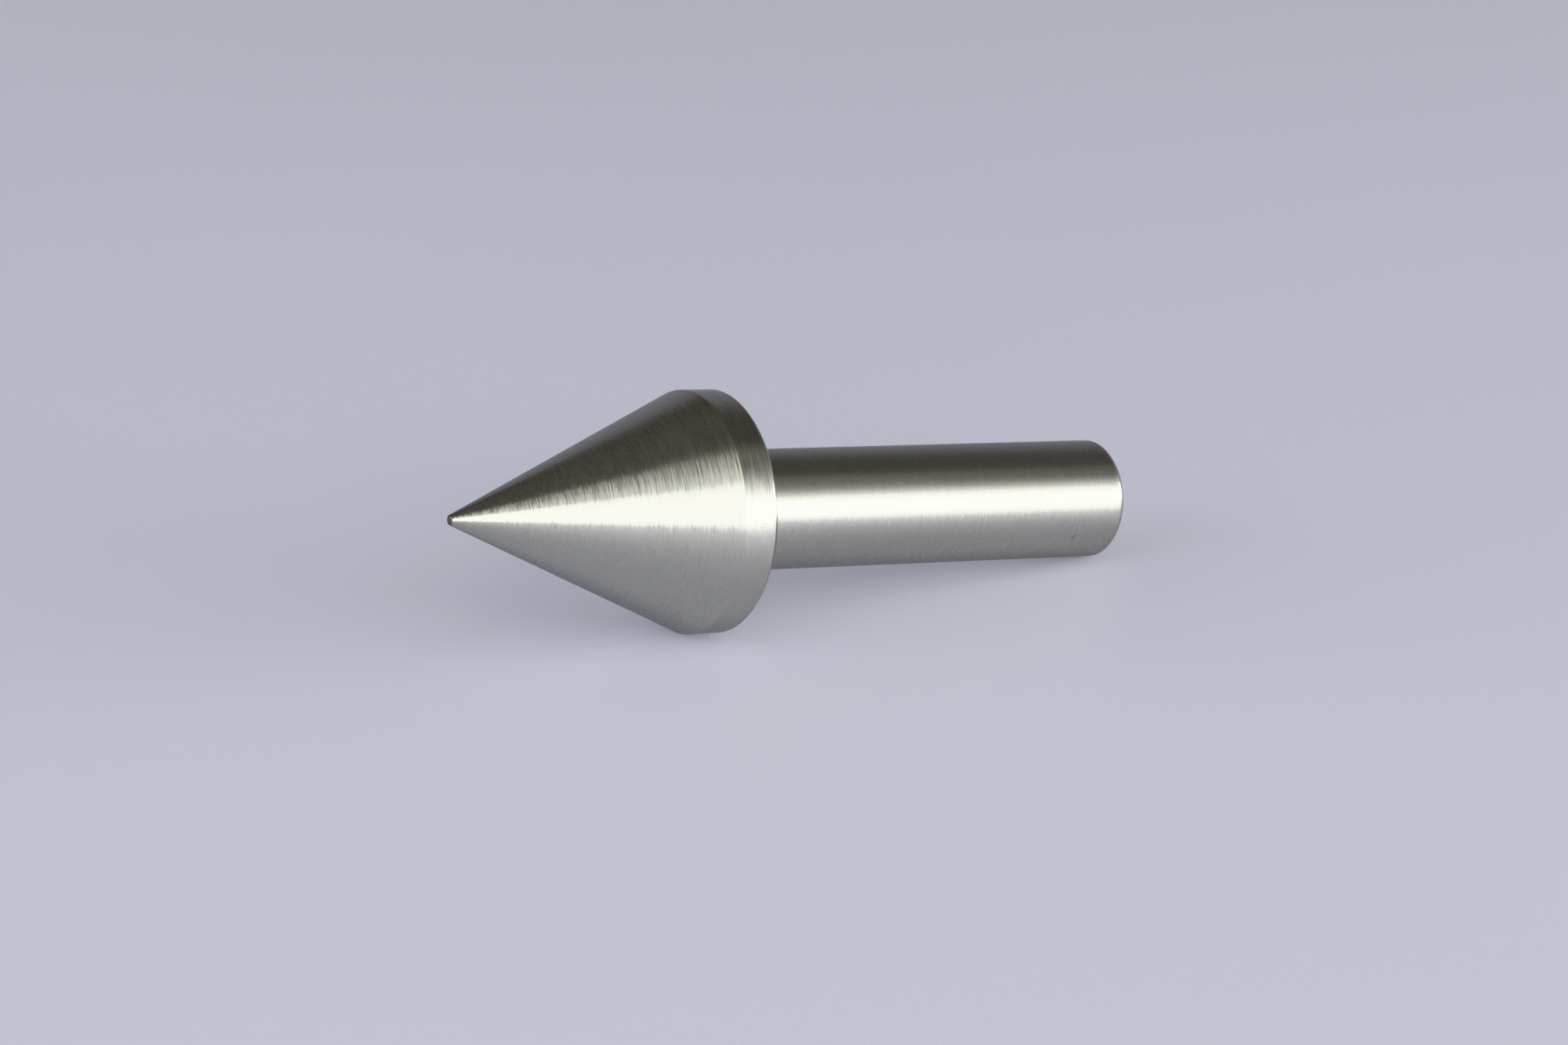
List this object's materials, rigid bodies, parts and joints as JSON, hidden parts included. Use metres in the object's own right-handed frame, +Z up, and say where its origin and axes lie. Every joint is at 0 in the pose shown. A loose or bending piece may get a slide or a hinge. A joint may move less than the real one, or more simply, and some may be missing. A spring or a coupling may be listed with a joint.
{
  "type": "live center",
  "caption": "Revolving lathe center: a pointed cone head turns on ball, thrust and needle bearings over a plain straight shank.",
  "frame": {"origin": "on the spindle axis, where the gripped length of the shank ends, level with the back face of the head", "axes": "+X along the spindle axis towards the point, +Z up, +Y to the left seen along +X"},
  "size_m": [0.0796, 0.0254, 0.0254],
  "materials": {
    "turned_steel": "fine-turned, circumferential lay",
    "ground_steel": "ground, faint circumferential lay",
    "nut_steel": "fine-turned",
    "bearing_steel": "polished",
    "cage_steel": "pressed sheet",
    "cage_brass": "machined",
    "spring_steel": "blued",
    "wool_felt": "pressed felt"
  },
  "bodies": {
    "arbor": {"arbor": "ground_steel", "main_inner_ring": "bearing_steel", "arbor_snap_ring": "spring_steel", "thrust_shaft_washer": "bearing_steel"},
    "head": {"cone_head": "turned_steel", "retaining_nut": "nut_steel", "felt_seal": "wool_felt", "felt_washer": "spring_steel", "wave_washer": "spring_steel", "main_outer_ring": "bearing_steel", "main_rear_shield": "cage_steel", "main_front_shield": "cage_steel", "thrust_housing_washer": "bearing_steel", "needle_cup": "bearing_steel"},
    "main_cage": {"main_cage_rear": "cage_steel", "main_cage_front": "cage_steel", "main_cage_rivets": "cage_steel", "main_balls": "bearing_steel"},
    "thrust_cage": {"thrust_cage": "cage_brass", "thrust_balls": "bearing_steel"},
    "needle_cage": {"needle_cage": "cage_steel", "needle_rollers": "bearing_steel"}
  },
  "joints": [
    {"name": "head_spin", "type": "hinge", "parent": "arbor", "child": "head", "pos_m": [0, 0, 0], "axis": [1, 0, 0], "continuous": true},
    {"name": "main_cage_spin", "type": "hinge", "parent": "arbor", "child": "main_cage", "pos_m": [0, 0, 0], "axis": [1, 0, 0], "continuous": true},
    {"name": "thrust_cage_spin", "type": "hinge", "parent": "arbor", "child": "thrust_cage", "pos_m": [0, 0, 0], "axis": [1, 0, 0], "continuous": true},
    {"name": "needle_cage_spin", "type": "hinge", "parent": "arbor", "child": "needle_cage", "pos_m": [0, 0, 0], "axis": [1, 0, 0], "continuous": true}
  ],
  "couplings": [
    {"joint": "main_cage_spin", "follows": "head_spin", "ratio": 0.5992},
    {"joint": "thrust_cage_spin", "follows": "head_spin", "ratio": 0.5},
    {"joint": "needle_cage_spin", "follows": "head_spin", "ratio": 0.6265}
  ]
}
